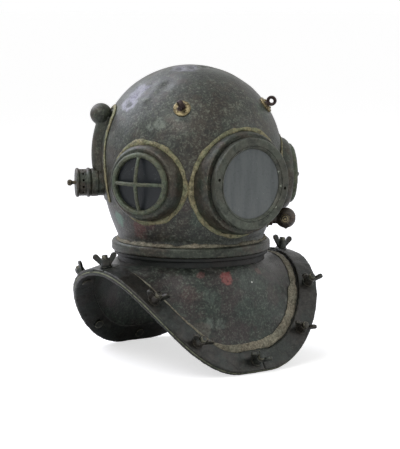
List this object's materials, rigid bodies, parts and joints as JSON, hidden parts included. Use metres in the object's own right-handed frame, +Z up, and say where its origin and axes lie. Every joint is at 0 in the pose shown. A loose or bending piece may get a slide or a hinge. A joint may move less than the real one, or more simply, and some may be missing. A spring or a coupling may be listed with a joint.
{
  "type": "diving helmet",
  "caption": "Old copper and brass diving helmet: a round bonnet with a screwed front door and guarded side windows, locked on a corselet clamped by brails and wing nuts.",
  "frame": {"origin": "where the neck opening's axis meets the plane that the corselet's rim stands on", "axes": "+Z up along the neck's axis, -Y to the front window, +X to the diver's left"},
  "size_m": [0.388, 0.3871, 0.473],
  "materials": {
    "copper_patina": "dull brown-green patina on tinned copper sheet",
    "brass_patina": "dark cast brass with dull patina",
    "brass_worn": "old brass, worn bright on the edges",
    "verdigris_brass": "cast brass with a pale green bloom",
    "front_glass": "thick flat plate glass, slightly grey",
    "side_glass": "thick flat plate glass",
    "gasket_rubber": "black rubber",
    "gasket_leather": "greased leather",
    "spring_wire": "drawn phosphor bronze wire"
  },
  "bodies": {
    "corselet": {"corselet_shell": "copper_patina", "corselet_rim": "brass_patina", "corselet_neck_ring": "brass_patina", "neck_gasket": "gasket_leather", "studs": "brass_worn", "stud_washers": "brass_patina", "brail_front_left": "brass_patina", "brail_front_right": "brass_patina", "brail_rear_left": "brass_patina", "brail_rear_right": "brass_patina", "catch_stop": "brass_patina"},
    "bonnet": {"bonnet_shell": "copper_patina", "bonnet_neck_ring": "brass_patina", "front_window_frame": "brass_patina", "left_window_frame": "brass_patina", "left_window_glass": "side_glass", "left_window_gasket": "gasket_rubber", "left_window_guard": "verdigris_brass", "right_window_frame": "brass_patina", "right_window_glass": "side_glass", "right_window_gasket": "gasket_rubber", "right_window_guard": "verdigris_brass", "left_brow_eye": "brass_worn", "right_brow_eye": "brass_worn", "brow_rivets": "brass_worn", "exhaust_duct": "copper_patina", "exhaust_valve_seat": "brass_patina", "exhaust_valve_spring": "spring_wire", "air_inlet_elbow": "brass_worn", "flap_pin": "brass_worn", "air_channels": "copper_patina", "telephone_inlet": "brass_worn", "telephone_gland_nut": "brass_worn", "spitcock_body": "brass_patina", "catch_bracket": "brass_patina"},
    "door_gasket": {"door_gasket": "gasket_rubber"},
    "front_door": {"door_ring": "brass_patina", "door_glass": "front_glass"},
    "exhaust_cap": {"exhaust_valve_cap": "brass_patina"},
    "exhaust_stem": {"exhaust_valve_stem": "brass_worn"},
    "inlet_flap": {"non_return_flap": "gasket_leather"},
    "spitcock_plug": {"spitcock_plug": "brass_worn"},
    "safety_catch": {"safety_catch": "brass_worn"},
    "wing_nut_01": {"wing_nut_01": "brass_patina"},
    "wing_nut_02": {"wing_nut_02": "brass_patina"},
    "wing_nut_03": {"wing_nut_03": "brass_patina"},
    "wing_nut_04": {"wing_nut_04": "brass_patina"},
    "wing_nut_05": {"wing_nut_05": "brass_patina"},
    "wing_nut_06": {"wing_nut_06": "brass_patina"},
    "wing_nut_07": {"wing_nut_07": "brass_patina"},
    "wing_nut_08": {"wing_nut_08": "brass_patina"},
    "wing_nut_09": {"wing_nut_09": "brass_patina"},
    "wing_nut_10": {"wing_nut_10": "brass_patina"},
    "wing_nut_11": {"wing_nut_11": "brass_patina"},
    "wing_nut_12": {"wing_nut_12": "brass_patina"}
  },
  "joints": [
    {"name": "bonnet_turn", "type": "hinge", "parent": "corselet", "child": "bonnet", "pos_m": [0, 0, 0.177], "axis": [0, 0, 1], "range_deg": [0, 45]},
    {"name": "door_travel", "type": "slide", "parent": "bonnet", "child": "door_gasket", "axis": [0, -1, 0], "range_m": [0, 0.009]},
    {"name": "door_spin", "type": "hinge", "parent": "door_gasket", "child": "front_door", "pos_m": [0, -0.1588, 0.294], "axis": [0, -1, 0], "range_deg": [0, 1080]},
    {"name": "exhaust_cap_turn", "type": "hinge", "parent": "bonnet", "child": "exhaust_cap", "pos_m": [-0.14399, 0.07336, 0.286], "axis": [-0.891, 0.454, 0], "range_deg": [-90, 180]},
    {"name": "exhaust_stem_push", "type": "slide", "parent": "bonnet", "child": "exhaust_stem", "axis": [-0.891, 0.454, 0], "range_m": [0, 0.005], "stiffness_N_per_m": 400, "springref_m": -0.003, "deforming": ["exhaust_valve_spring"]},
    {"name": "inlet_flap_swing", "type": "hinge", "parent": "bonnet", "child": "inlet_flap", "pos_m": [0, 0.1844, 0.2352], "axis": [-1, 0, 0], "range_deg": [0, 50]},
    {"name": "spitcock_turn", "type": "hinge", "parent": "bonnet", "child": "spitcock_plug", "pos_m": [0.11721, -0.09835, 0.227], "axis": [-0.6428, -0.766, 0], "range_deg": [0, 90]},
    {"name": "safety_catch_swing", "type": "hinge", "parent": "bonnet", "child": "safety_catch", "pos_m": [0, 0.134, 0.188], "axis": [-1, 0, 0], "range_deg": [0, 150]},
    {"name": "wing_nut_01_spin", "type": "hinge", "parent": "corselet", "child": "wing_nut_01", "pos_m": [0, -0.17448, 0.02015], "axis": [0, -0.866, 0.5], "continuous": true},
    {"name": "wing_nut_02_spin", "type": "hinge", "parent": "corselet", "child": "wing_nut_02", "pos_m": [0.10152, -0.15954, 0.05713], "axis": [-0.0883, -0.8649, 0.4941], "continuous": true},
    {"name": "wing_nut_03_spin", "type": "hinge", "parent": "corselet", "child": "wing_nut_03", "pos_m": [0.15162, -0.11495, 0.12155], "axis": [-0.0049, -0.7124, 0.7017], "continuous": true},
    {"name": "wing_nut_04_spin", "type": "hinge", "parent": "corselet", "child": "wing_nut_04", "pos_m": [0.17436, -0.0161, 0.16464], "axis": [0.1762, 0.0187, 0.9842], "continuous": true},
    {"name": "wing_nut_05_spin", "type": "hinge", "parent": "corselet", "child": "wing_nut_05", "pos_m": [0.16415, 0.06804, 0.13795], "axis": [0.1326, 0.5984, 0.7901], "continuous": true},
    {"name": "wing_nut_06_spin", "type": "hinge", "parent": "corselet", "child": "wing_nut_06", "pos_m": [0.092, 0.14505, 0.04737], "axis": [0.0029, 0.8722, 0.4892], "continuous": true},
    {"name": "wing_nut_07_spin", "type": "hinge", "parent": "corselet", "child": "wing_nut_07", "pos_m": [0, 0.16148, 0.02015], "axis": [0, 0.866, 0.5], "continuous": true},
    {"name": "wing_nut_08_spin", "type": "hinge", "parent": "corselet", "child": "wing_nut_08", "pos_m": [-0.092, 0.14505, 0.04737], "axis": [-0.0029, 0.8722, 0.4892], "continuous": true},
    {"name": "wing_nut_09_spin", "type": "hinge", "parent": "corselet", "child": "wing_nut_09", "pos_m": [-0.16415, 0.06804, 0.13795], "axis": [-0.1326, 0.5984, 0.7901], "continuous": true},
    {"name": "wing_nut_10_spin", "type": "hinge", "parent": "corselet", "child": "wing_nut_10", "pos_m": [-0.17436, -0.0161, 0.16464], "axis": [-0.1762, 0.0187, 0.9842], "continuous": true},
    {"name": "wing_nut_11_spin", "type": "hinge", "parent": "corselet", "child": "wing_nut_11", "pos_m": [-0.15162, -0.11495, 0.12155], "axis": [0.0049, -0.7124, 0.7017], "continuous": true},
    {"name": "wing_nut_12_spin", "type": "hinge", "parent": "corselet", "child": "wing_nut_12", "pos_m": [-0.10152, -0.15954, 0.05713], "axis": [0.0883, -0.8649, 0.4941], "continuous": true}
  ],
  "couplings": [
    {"joint": "door_travel", "follows": "door_spin", "m_per_rad": 0.00047746}
  ]
}
